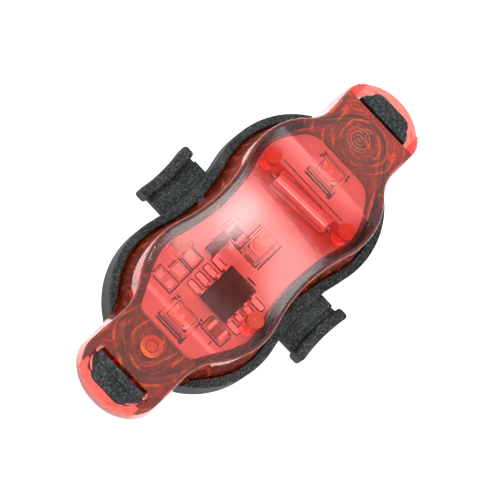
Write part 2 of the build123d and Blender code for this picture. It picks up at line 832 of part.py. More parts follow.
for place, frame in cell_frames.items():
    for piece, drawn in (("can", cell_can), ("gasket", cell_gasket_ring), ("cap", cell_cap)):
        with BuildPart() as cell_piece:
            with Locations(frame):
                add(drawn.part)
        finish(cell_piece.part, "cell_" + place + "_" + piece)

# Strip that joins the cells below, with a low dome under each
with BuildPart() as cell_link:
    with BuildSketch(Plane.XY.offset(base_floor)):
        SlotOverall(2 * (lobe_x + link_end), link_width)
    extrude(amount=link_thickness)
    with Locations((lobe_x, 0, base_floor + link_thickness), (-lobe_x, 0, base_floor + link_thickness)):
        Cone(link_dome_radius, link_dome_radius - link_dome_height, link_dome_height, align=on_ground)
finish(cell_link.part, "cell_link")

# Leaf springs between the cells and the board
with BuildPart() as contact_far:
    spring_drop = board_seat - cell_top
    pad_end = lobe_x + spring_leaf / 2
    toe_end = lobe_x - spring_leaf / 2
    with BuildSketch(Plane.XZ):
        with BuildLine():
            Polyline(
                (pad_end + spring_pad, board_seat),
                (pad_end, board_seat),
                (toe_end, cell_top + spring_thickness),
                (toe_end - spring_toe, cell_top + spring_thickness),
                (toe_end - spring_toe, cell_top),
                (toe_end + spring_thickness, cell_top),
                (pad_end + spring_thickness, board_seat - spring_thickness),
                (pad_end + spring_pad, board_seat - spring_thickness),
                close=True,
            )
        make_face()
    extrude(amount=spring_width / 2, both=True)
finish(contact_far.part, "contact_far")
with BuildPart() as contact_near:
    add(mirror(contact_far.part, about=Plane.YZ, mode=Mode.PRIVATE))
finish(contact_near.part, "contact_near")
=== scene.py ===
import json
import logging
import math
from dataclasses import dataclass, field
from enum import Enum

import bmesh
import bpy
from mathutils import Matrix, Vector


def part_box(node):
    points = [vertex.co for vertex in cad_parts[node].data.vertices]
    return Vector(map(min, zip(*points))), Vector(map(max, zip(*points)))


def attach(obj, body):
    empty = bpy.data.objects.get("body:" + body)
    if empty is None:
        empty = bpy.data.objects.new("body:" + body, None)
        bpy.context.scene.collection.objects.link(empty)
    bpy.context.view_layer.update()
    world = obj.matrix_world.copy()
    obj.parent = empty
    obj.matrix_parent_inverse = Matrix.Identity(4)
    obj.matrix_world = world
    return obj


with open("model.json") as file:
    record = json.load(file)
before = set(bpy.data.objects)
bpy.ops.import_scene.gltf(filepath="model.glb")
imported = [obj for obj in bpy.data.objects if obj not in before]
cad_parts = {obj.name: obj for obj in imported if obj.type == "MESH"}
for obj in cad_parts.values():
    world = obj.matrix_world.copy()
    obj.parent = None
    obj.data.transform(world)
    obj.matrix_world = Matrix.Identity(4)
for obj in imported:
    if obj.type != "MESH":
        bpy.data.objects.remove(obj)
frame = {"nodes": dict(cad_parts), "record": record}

LOG = logging.getLogger("wheel_light")
MM = 0.001
HOUSING = "housing"
WHITE = (1.0, 1.0, 1.0)
LED_LIES_ALONG_Y = {"near": True, "middle": False, "far": True}

Pair = tuple[float, float]
Triple = tuple[float, float, float]
Outline = list[Pair]
Piece = bpy.types.Object
Material = bpy.types.Material


class Side(Enum):
    """One side of a part, as a sign."""

    PLUS = 1.0
    MINUS = -1.0


@dataclass(frozen=True)
class Layer:
    """One layer of cloud noise: lumps per millimetre, finer layers, their strength and a stretch."""

    per_mm: float
    detail: float
    rough: float
    stretch: Triple = (1.0, 1.0, 1.0)


class Value:
    """One output of a shader graph that takes part in plain sums."""

    def __init__(self, graph: "Graph", socket: bpy.types.NodeSocket) -> None:
        """Keep the graph and its output socket."""
        self.graph = graph
        self.socket = socket

    def _math(self, operation: str, left: object, right: object = None) -> "Value":
        """Join one or two operands with one maths node."""
        return self.graph.node("ShaderNodeMath", {0: left, 1: right}, operation=operation)

    def __add__(self, other: object) -> "Value":
        """This value plus another."""
        return self._math("ADD", self, other)

    def __radd__(self, other: object) -> "Value":
        """Another value plus this one."""
        return self._math("ADD", other, self)

    def __sub__(self, other: object) -> "Value":
        """This value less another."""
        return self._math("SUBTRACT", self, other)

    def __rsub__(self, other: object) -> "Value":
        """Another value less this one."""
        return self._math("SUBTRACT", other, self)

    def __mul__(self, other: object) -> "Value":
        """This value times another."""
        return self._math("MULTIPLY", self, other)

    def __rmul__(self, other: object) -> "Value":
        """Another value times this one."""
        return self._math("MULTIPLY", other, self)

    def __pow__(self, other: object) -> "Value":
        """This value to the power of another."""
        return self._math("POWER", self, other)

    def __rpow__(self, other: object) -> "Value":
        """Another value to the power of this one."""
        return self._math("POWER", other, self)

    def __abs__(self) -> "Value":
        """This value without its sign."""
        return self._math("ABSOLUTE", self)

    def sine(self) -> "Value":
        """The sine of this value, in radians."""
        return self._math("SINE", self)

    def axis(self, name: str) -> "Value":
        """One part of this vector, X, Y or Z."""
        return self.graph.node("ShaderNodeSeparateXYZ", {0: self}, output=name)

    def between(self, low: float, high: float) -> "Value":
        """Stretch the range from low to high over 0 to 1, clamped."""
        inputs = {0: self, 1: low, 2: high, 3: 0.0, 4: 1.0}
        return self.graph.node("ShaderNodeMapRange", inputs, clamp=True)

    def spread(self, low: float, high: float) -> "Value":
        """Map 0 to 1 onto low to high."""
        return self * (high - low) + low


class Graph:
    """The node tree of one material."""

    def __init__(self, name: str) -> None:
        """Make an empty material.

        Args:
            name: The name of the material.
        """
        self.material = bpy.data.materials.new(name)
        self.material.use_nodes = True
        self.tree = self.material.node_tree
        self.tree.nodes.clear()

    def node(
        self, kind: str, inputs: dict | None = None, output: int | str = 0, **settings: object
    ) -> Value:
        """Add a node, feed its inputs and return one of its outputs.

        Args:
            kind: The type name of the node.
            inputs: Values or constants by input name or index.
            output: The name or index of the output to return.
            **settings: Properties to set on the node before its inputs are fed.

        Returns:
            The chosen output.
        """
        made = self.tree.nodes.new(kind)
        for key, value in settings.items():
            setattr(made, key, value)
        for key, value in (inputs or {}).items():
            if isinstance(value, Value):
                self.tree.links.new(value.socket, made.inputs[key])
            elif value is not None:
                made.inputs[key].default_value = value
        return Value(self, made.outputs[output])

    def place(self, stretch: Triple = (1.0, 1.0, 1.0)) -> Value:
        """Object coordinates in millimetres, stretched along the axes.

        Args:
            stretch: The factor along each axis.

        Returns:
            The coordinates.
        """
        coordinates = self.node("ShaderNodeTexCoord", output="Object")
        factors = tuple(part / MM for part in stretch)
        return self.node("ShaderNodeMapping", {"Vector": coordinates, "Scale": factors})

    def noise(self, layer: Layer) -> Value:
        """Cloud noise from 0 to 1.

        Args:
            layer: How the noise is made.

        Returns:
            The noise.
        """
        inputs = {
            "Vector": self.place(layer.stretch),
            "Scale": layer.per_mm,
            "Detail": layer.detail,
            "Roughness": layer.rough,
        }
        return self.node("ShaderNodeTexNoise", inputs, output="Fac")

    def cells(self, per_mm: float) -> Value:
        """Distance from the middles of scattered cells, so many to a millimetre."""
        inputs = {"Vector": self.place(), "Scale": per_mm}
        return self.node("ShaderNodeTexVoronoi", inputs, output="Distance", feature="SMOOTH_F1")

    def mix(self, factor: object, first: Triple, second: Triple) -> Value:
        """Blend two colours.

        Args:
            factor: 0 gives the first colour and 1 the second.
            first: The first colour.
            second: The second colour.

        Returns:
            The blended colour.
        """
        inputs = {0: factor, 6: (*first, 1.0), 7: (*second, 1.0)}
        return self.node("ShaderNodeMix", inputs, output=2, data_type="RGBA")

    def upward(self) -> Value:
        """How far the surface faces up, from -1 to 1."""
        return self.node("ShaderNodeNewGeometry", output="Normal").axis("Z")

    def bump(self, height: Value, depth_mm: float, under: Value | None = None) -> Value:
        """Turn a height of 0 to 1 and a real depth into a normal, on top of another normal."""
        inputs = {"Height": height, "Distance": depth_mm * MM, "Strength": 1.0, "Normal": under}
        return self.node("ShaderNodeBump", inputs)

    def finish(self, surface: Value, volume: Value | None = None) -> Material:
        """Close the graph.

        Args:
            surface: The surface shader.
            volume: The volume shader, if there is one.

        Returns:
            The finished material.
        """
        output = self.tree.nodes.new("ShaderNodeOutputMaterial")
        self.tree.links.new(surface.socket, output.inputs["Surface"])
        if volume is not None:
            self.tree.links.new(volume.socket, output.inputs["Volume"])
        return self.material


@dataclass(frozen=True)
class PlasticFinish:
    """Moulded plastic with a grain, a little dust and uneven gloss."""

    name: str
    color: Triple
    dust: Triple
    rough_low: float
    rough_high: float
    grain_per_mm: float
    grain_depth: float
    side_share: float = 1.0
    specular: float = 0.5
    speck: float = 0.45
    speck_range: Pair = (0.47, 0.77)
    clouds: Layer = Layer(0.35, 5.0, 0.6)
    cloud_dust: float = 0.35
    cloud_range: Pair = (0.45, 0.8)
    scratches: Layer = Layer(2.2, 4.0, 0.65, (0.25, 3.0, 1.0))
    grain_detail: float = 2.0
    grain_rough: float = 0.6
    pits_per_grain: float = 0.8
    upward_range: Pair = (0.35, 0.75)
    grain_height: float = 0.65
    pit_height: float = 0.6
    scratch_height: float = 0.05

    def build(self) -> Material:
        """Make the material.

        Returns:
            The material.
        """
        graph = Graph(self.name)
        clouds = graph.noise(self.clouds)
        grain = graph.noise(Layer(self.grain_per_mm, self.grain_detail, self.grain_rough))
        pits = graph.cells(self.grain_per_mm * self.pits_per_grain)
        scratches = graph.noise(self.scratches)
        share = graph.upward().between(*self.upward_range).spread(self.side_share, 1.0)
        coarse = (grain * self.grain_height + pits * self.pit_height) * share
        height = coarse + scratches * self.scratch_height
        specks = grain.between(*self.speck_range) * self.speck * share
        dusty = clouds.between(*self.cloud_range) * self.cloud_dust + specks
        rough = (clouds * 0.5 + grain * 0.5).spread(self.rough_low, self.rough_high)
        surface = graph.node(
            "ShaderNodeBsdfPrincipled",
            {
                "Base Color": graph.mix(dusty, self.color, self.dust),
                "Roughness": rough,
                "Normal": graph.bump(height, self.grain_depth),
                "Specular IOR Level": self.specular,
            },
        )
        return graph.finish(surface)


@dataclass(frozen=True)
class ClearFinish:
    """Clear coloured plastic with faint scratches, flow lines and a swirl where it flowed in."""

    name: str
    haze: Triple
    tint: Triple
    density: float
    top_haze: float = 0.02
    side_haze: float = 0.09
    haze_range: Pair = (0.7, 1.3)
    steep_range: Pair = (0.86, 0.7)
    clouds: Layer = Layer(0.5, 4.0, 0.6)
    scratches: Layer = Layer(1.6, 5.0, 0.7, (0.15, 2.4, 1.0))
    wear_depth: float = 0.0012
    cloud_wear: float = 0.6
    scratch_wear: float = 0.4
    rough: float = 0.02
    rough_growth: float = 2.5
    rough_range: Pair = (0.3, 0.9)
    ior: float = 1.58
    line_haze: float = 0.5
    line_spacing: float = 1.15
    line_wander: float = 5.0
    line_drift: Layer = Layer(0.14, 1.5, 0.5)
    line_shift: float = 1.35
    line_from: float = 13.3
    line_to: float = 14.3
    line_range: Pair = (0.55, 1.0)
    line_clouds: Pair = (0.42, 0.62)
    swirl_haze: float = 0.3
    swirl_range: Pair = (0.72, 1.0)
    swirl_centre: Pair = (16.3, 0.4)
    swirl_radius: float = 2.3
    swirl_core_share: float = 0.6
    swirl_turns_per_mm: float = 2.2
    swirl_wobble: float = 3.0
    swirl_drift: Layer = Layer(0.9, 2.0, 0.5)
    swirl_depth: float = 0.05

    def swirl(self, graph: Graph) -> Value:
        """Height of the swirl, a spiral that fades out at its rim.

        Args:
            graph: The graph of the material.

        Returns:
            The height, 0 to 1.
        """
        shift = (-self.swirl_centre[0], -self.swirl_centre[1], 0.0)
        place = graph.node("ShaderNodeMapping", {"Vector": graph.place(), "Location": shift})
        x = place.axis("X")
        y = place.axis("Y")
        reach = (x * x + y * y) ** 0.5
        angle = graph.node("ShaderNodeMath", {0: y, 1: x}, operation="ARCTAN2")
        wobble = graph.noise(self.swirl_drift) * self.swirl_wobble
        wave = (reach * (self.swirl_turns_per_mm * math.tau) - angle + wobble).sine()
        fade = reach.between(self.swirl_radius * self.swirl_core_share, self.swirl_radius)
        return wave * (1.0 - fade) * 0.5 + 0.5

    def flow_lines(self, graph: Graph) -> Value:
        """Wavy rings round both ends of the cover, where the plastic flowed.

        Args:
            graph: The graph of the material.

        Returns:
            The height of the wave, -1 to 1.
        """
        ends = abs(graph.place().axis("X"))
        across = graph.place().axis("Y")
        reach = ((ends - self.swirl_centre[0]) ** 2.0 + across * across) ** 0.5
        pattern = reach + graph.noise(self.line_drift) * self.line_wander
        return (pattern * (math.tau / self.line_spacing)).sine()

    def hazy_region(self, graph: Graph) -> Value:
        """Where haze and flow lines show: on steep faces, and on all faces near both ends.

        Args:
            graph: The graph of the material.

        Returns:
            A mask, 0 to 1.
        """
        steep = abs(graph.upward()).between(*self.steep_range)
        beyond = abs(graph.place().axis("X") + self.line_shift)
        past = beyond.between(self.line_from, self.line_to)
        return graph.node("ShaderNodeMath", {0: steep, 1: past}, operation="MAXIMUM")

    def build(self) -> Material:
        """Make the material.

        Returns:
            The material.
        """
        graph = Graph(self.name)
        clouds = graph.noise(self.clouds)
        scratches = graph.noise(self.scratches)
        wear = clouds * self.cloud_wear + scratches * self.scratch_wear
        swirl = self.swirl(graph)
        rough = clouds.between(*self.rough_range).spread(self.rough, self.rough * self.rough_growth)
        clear = graph.node(
            "ShaderNodeBsdfPrincipled",
            {
                "Base Color": (*WHITE, 1.0),
                "Roughness": rough,
                "IOR": self.ior,
                "Transmission Weight": 1.0,
                "Normal": graph.bump(swirl, self.swirl_depth, graph.bump(wear, self.wear_depth)),
            },
        )
        cloudy = graph.node(
            "ShaderNodeBsdfPrincipled",
            {"Base Color": (*self.haze, 1.0), "Roughness": 1.0, "Specular IOR Level": 0.0},
        )
        region = self.hazy_region(graph)
        lines = self.flow_lines(graph).between(*self.line_range) * region * self.line_haze
        share = region.spread(self.top_haze, self.side_haze) * clouds.spread(*self.haze_range)
        share = share + lines * clouds.between(*self.line_clouds)
        share = share + swirl.between(*self.swirl_range) * self.swirl_haze
        surface = graph.node("ShaderNodeMixShader", {0: share, 1: clear, 2: cloudy})
        volume = graph.node(
            "ShaderNodeVolumeAbsorption", {"Color": (*self.tint, 1.0), "Density": self.density / MM}
        )
        return graph.finish(surface, volume)


@dataclass(frozen=True)
class MetalFinish:
    """Plated metal with fine brushing and dull patches."""

    name: str
    color: Triple
    tarnish: Triple
    rough_low: float
    rough_high: float
    clouds: Layer = Layer(0.8, 4.0, 0.6)
    brushing: Layer = Layer(3.0, 3.0, 0.6, (1.0, 6.0, 1.0))
    brush_depth: float = 0.006
    brush_share: float = 0.4
    dull_share: float = 0.6
    dull_range: Pair = (0.45, 0.85)

    def build(self) -> Material:
        """Make the material.

        Returns:
            The material.
        """
        graph = Graph(self.name)
        clouds = graph.noise(self.clouds)
        brushing = graph.noise(self.brushing)
        dull = clouds.between(*self.dull_range) * self.dull_share
        uneven = clouds * (1.0 - self.brush_share) + brushing * self.brush_share
        surface = graph.node(
            "ShaderNodeBsdfPrincipled",
            {
                "Base Color": graph.mix(dull, self.color, self.tarnish),
                "Metallic": 1.0,
                "Roughness": uneven.spread(self.rough_low, self.rough_high),
                "Normal": graph.bump(brushing, self.brush_depth),
            },
        )
        return graph.finish(surface)


FINISHES = (
    PlasticFinish(
        "base_black", (0.008, 0.010, 0.010), (0.13, 0.15, 0.15), 0.60, 0.75, 4.2, 0.11,
        side_share=0.25, specular=0.3, speck=0.85,
    ),
    ClearFinish("cover_red", (1.0, 0.16, 0.05), (0.99, 0.05, 0.01), 0.95),
    PlasticFinish("seal_rubber", (0.80, 0.45, 0.28), (0.85, 0.55, 0.40), 0.45, 0.6, 6.0, 0.01),
    PlasticFinish("board_white", (0.96, 0.96, 0.94), (0.90, 0.89, 0.86), 0.35, 0.5, 5.0, 0.008),
    PlasticFinish("led_white", (0.95, 0.95, 0.93), (0.78, 0.77, 0.73), 0.3, 0.45, 7.0, 0.01),
    PlasticFinish("led_resin", (0.90, 0.80, 0.66), (0.95, 0.86, 0.74), 0.08, 0.15, 3.0, 0.01),
    MetalFinish("tinned", (0.92, 0.92, 0.92), (0.80, 0.79, 0.77), 0.3, 0.5),
    PlasticFinish(
        "chip_black", (0.016, 0.014, 0.014), (0.05, 0.05, 0.05), 0.7, 0.85, 7.0, 0.015, specular=0.2
    ),
    PlasticFinish("capacitor_brown", (0.30, 0.19, 0.12), (0.4, 0.28, 0.2), 0.4, 0.6, 6.0, 0.01),
    MetalFinish("switch_metal", (0.86, 0.80, 0.80), (0.78, 0.70, 0.70), 0.10, 0.2),
    PlasticFinish("plug_red", (0.35, 0.02, 0.015), (0.5, 0.08, 0.06), 0.4, 0.6, 5.0, 0.01),
    PlasticFinish("cradle_red", (0.66, 0.05, 0.03), (0.72, 0.09, 0.06), 0.3, 0.5, 5.0, 0.01),
    PlasticFinish("gasket_green", (0.05, 0.15, 0.08), (0.1, 0.2, 0.14), 0.4, 0.6, 5.0, 0.01),
    MetalFinish("cell_steel", (0.78, 0.78, 0.77), (0.6, 0.59, 0.57), 0.12, 0.3),
    MetalFinish("contact_bronze", (0.80, 0.60, 0.34), (0.5, 0.34, 0.2), 0.2, 0.4),
    PlasticFinish("print_dark", (0.03, 0.02, 0.02), (0.06, 0.05, 0.04), 0.5, 0.7, 8.0, 0.004),
    PlasticFinish("frosted_pale", (0.95, 0.62, 0.34), (0.9, 0.5, 0.25), 0.5, 0.7, 2.0, 0.05),
    PlasticFinish("frosted_end", (0.95, 0.12, 0.02), (0.85, 0.08, 0.02), 0.5, 0.7, 2.0, 0.05),
    MetalFinish("bare_solder", (0.97, 0.97, 0.97), (0.90, 0.90, 0.90), 0.2, 0.3),
)


@dataclass
class Palette:
    """All materials of the light, made once each."""

    made: dict[str, Material] = field(default_factory=dict)

    def build(self) -> "Palette":
        """Make every material.

        Returns:
            The palette itself.
        """
        for finish in FINISHES:
            self.made[finish.name] = finish.build()
        return self

    def __getitem__(self, name: str) -> Material:
        """Look up the material of a finish by its name."""
        return self.made[name]


@dataclass
class FrameDress:
    """Gives every node of the frame the finish of its slot, or one of its own."""

    palette: Palette
    own_finish: dict[str, str] = field(default_factory=lambda: {"solder_joints": "bare_solder"})

    def build(self) -> list[Piece]:
        """Dress the nodes.

        Returns:
            The dressed nodes.
        """
        slots = {part["node"]: part["material_slot"] for part in frame["record"]["subparts"]}
        for name, node in frame["nodes"].items():
            node.data.materials.clear()
            node.data.materials.append(self.palette[self.own_finish.get(name, slots[name])])
        return list(frame["nodes"].values())


@dataclass(frozen=True)
class Box:
    """The box round a node, in millimetres."""

    low: Vector
    high: Vector

    @property
    def middle(self) -> Vector:
        """The middle of the box."""
        return (self.low + self.high) / 2


def box_mm(node: str) -> Box:
    """The box round a node, in millimetres."""
    return Box(*(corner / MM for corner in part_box(node)))


def link_new(name: str, data: bpy.types.ID) -> Piece:
    """Make an object and put it in the scene.

    Args:
        name: The name of the object.
        data: Its mesh, lamp, camera or text.

    Returns:
        The object.
    """
    made = bpy.data.objects.new(name, data)
    bpy.context.scene.collection.objects.link(made)
    return made


def circle(centre: Pair, radius: float, sides: int = 32) -> Outline:
    """Outline of a circle.

    Args:
        centre: Its middle.
        radius: Its radius.
        sides: How many sides stand for its round edge.

    Returns:
        The corners, anticlockwise.
    """
    turns = [math.tau * i / sides for i in range(sides)]
    return [(centre[0] + radius * math.cos(turn), centre[1] + radius * math.sin(turn)) for turn in turns]


def rounded(centre: Pair, size: Pair, corner: float, steps: int = 5) -> Outline:
    """Outline of a rectangle with round corners.

    Args:
        centre: Its middle.
        size: Its length in X and in Y.
        corner: The radius of its corners.
        steps: How many straight runs stand for a corner.

    Returns:
        The corners, anticlockwise.
    """
    points = []
    for quarter, (sign_x, sign_y) in enumerate(((1, 1), (-1, 1), (-1, -1), (1, -1))):
        x = centre[0] + sign_x * (size[0] / 2 - corner)
        y = centre[1] + sign_y * (size[1] / 2 - corner)
        for step in range(steps + 1):
            turn = math.pi / 2 * (quarter + step / steps)
            points.append((x + corner * math.cos(turn), y + corner * math.sin(turn)))
    return points


class Solid:
    """Collects simple closed solids, in millimetres, and turns them into one plain mesh piece.

    Levels are the heights of a solid's bottom and top.
    """

    def __init__(self, name: str, material: Material) -> None:
        """Start an empty piece.

        Args:
            name: The name of the piece.
            material: The finish of the piece.
        """
        self.name = name
        self.material = material
        self.mesh = bmesh.new()

    def loop(self, outline: Outline, level: float) -> list[bmesh.types.BMVert]:
        """Add the corners of an outline at one level."""
        return [self.mesh.verts.new((x, y, level)) for x, y in outline]

    def wall(self, first: list[bmesh.types.BMVert], second: list[bmesh.types.BMVert]) -> None:
        """Join two loops of as many corners with a band of faces.

        Args:
            first: The loop that the band starts from.
            second: The loop that it ends at.
        """
        for i in range(len(first)):
            j = (i + 1) % len(first)
            self.mesh.faces.new((first[i], first[j], second[j], second[i]))

    def prism(self, outline: Outline, levels: Pair) -> None:
        """Add an upright prism.

        Args:
            outline: The corners of its plan, anticlockwise.
            levels: Its bottom and its top.
        """
        bottom = self.loop(outline, levels[0])
        top = self.loop(outline, levels[1])
        self.mesh.faces.new(bottom[::-1])
        self.mesh.faces.new(top)
        self.wall(bottom, top)

    def bar(self, start: Pair, end: Pair, width: float, levels: Pair) -> None:
        """Add a straight bar with square ends.

        Args:
            start: The middle of one end.
            end: The middle of the other end.
            width: How wide it is.
            levels: Its bottom and its top.
        """
        along = (Vector(end) - Vector(start)).normalized()
        side = Vector((-along.y, along.x)) * (width / 2)
        first = Vector(start) - along * (width / 2)
        last = Vector(end) + along * (width / 2)
        corners = (first - side, last - side, last + side, first + side)
        self.prism([tuple(corner) for corner in corners], levels)

    def ring(self, outer: Outline, inner: Outline, levels: Pair) -> None:
        """Add a closed ring between two outlines with as many corners.

        Args:
            outer: The outer outline, anticlockwise.
            inner: The inner outline, anticlockwise.
            levels: Its bottom and its top.
        """
        low, high = levels
        path = ((outer, low), (outer, high), (inner, high), (inner, low))
        loops = [self.loop(outline, level) for outline, level in path]
        for first, second in zip(loops, loops[1:] + loops[:1]):
            self.wall(first, second)

    def frame(self, centre: Pair, size: Pair, corner: float, line: float, levels: Pair) -> None:
        """Add the outline of a rounded rectangle.

        Args:
            centre: Its middle.
            size: Its outer length in X and in Y.
            corner: The radius of its outer corners.
            line: How wide the line is.
            levels: Its bottom and its top.
        """
        least_share = 0.2
        inner_size = (size[0] - 2 * line, size[1] - 2 * line)
        inner_corner = max(corner - line, corner * least_share)
        self.ring(rounded(centre, size, corner), rounded(centre, inner_size, inner_corner), levels)

    def build(self, body: str | None = HOUSING) -> Piece:
        """Make the piece.

        Args:
            body: The body that the piece moves with, or nothing for a template.

        Returns:
            The finished object.
        """
        bmesh.ops.recalc_face_normals(self.mesh, faces=self.mesh.faces)
        bmesh.ops.scale(self.mesh, vec=(MM, MM, MM), verts=self.mesh.verts)
        data = bpy.data.meshes.new(self.name)
        self.mesh.to_mesh(data)
        self.mesh.free()
        data.materials.append(self.material)
        made = link_new(self.name, data)
        if body is not None:
            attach(made, body)
        return made


@dataclass
class Row:
    """A geometry-nodes row of copies of one small template, along X."""

    name: str
    material: Material
    count: int
    pitch: float

    def tree(self) -> bpy.types.NodeTree:
        """Make the node tree, with named inputs for the template, count, start, step and finish.

        Returns:
            The tree.
        """
        tree = bpy.data.node_groups.new("row_of_copies", "GeometryNodeTree")
        sockets = tree.interface
        sockets.new_socket("Geometry", in_out="OUTPUT", socket_type="NodeSocketGeometry")
        for label, kind in (
            ("Template", "NodeSocketObject"),
            ("Count", "NodeSocketInt"),
            ("Start", "NodeSocketVector"),
            ("Step", "NodeSocketVector"),
            ("Material", "NodeSocketMaterial"),
        ):
            sockets.new_socket(label, in_out="INPUT", socket_type=kind)
        given = tree.nodes.new("NodeGroupInput")
        line = tree.nodes.new("GeometryNodeMeshLine")
        template = tree.nodes.new("GeometryNodeObjectInfo")
        copies = tree.nodes.new("GeometryNodeInstanceOnPoints")
        real = tree.nodes.new("GeometryNodeRealizeInstances")
        dressed = tree.nodes.new("GeometryNodeSetMaterial")
        result = tree.nodes.new("NodeGroupOutput")
        for source, leaving, target, entering in (
            (given, "Template", template, "Object"),
            (given, "Count", line, "Count"),
            (given, "Start", line, "Start Location"),
            (given, "Step", line, "Offset"),
            (line, "Mesh", copies, "Points"),
            (template, "Geometry", copies, "Instance"),
            (copies, "Instances", real, "Geometry"),
            (real, "Geometry", dressed, "Geometry"),
            (given, "Material", dressed, "Material"),
            (dressed, "Geometry", result, "Geometry"),
        ):
            tree.links.new(source.outputs[leaving], target.inputs[entering])
        return tree

    def build(self, template: Piece, centre: Vector) -> Piece:
        """Make the row and drop its template.

        Args:
            template: The object that is repeated, drawn round the origin.
            centre: The middle of the row, in metres.

        Returns:
            The finished object.
        """
        step = Vector((1.0, 0.0, 0.0)) * self.pitch * MM
        holder = link_new(self.name, bpy.data.meshes.new(self.name))
        modifier = holder.modifiers.new("row", "NODES")
        modifier.node_group = self.tree()
        values = {
            "Template": template,
            "Count": self.count,
            "Start": centre - step * ((self.count - 1) / 2),
            "Step": step,
            "Material": self.material,
        }
        for item in modifier.node_group.interface.items_tree:
            if item.in_out == "INPUT":
                modifier[item.identifier] = values[item.name]
        evaluated = holder.evaluated_get(bpy.context.evaluated_depsgraph_get())
        plain = bpy.data.meshes.new_from_object(evaluated)
        holder.modifiers.clear()
        holder.data = plain
        bpy.data.objects.remove(template)
        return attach(holder, HOUSING)


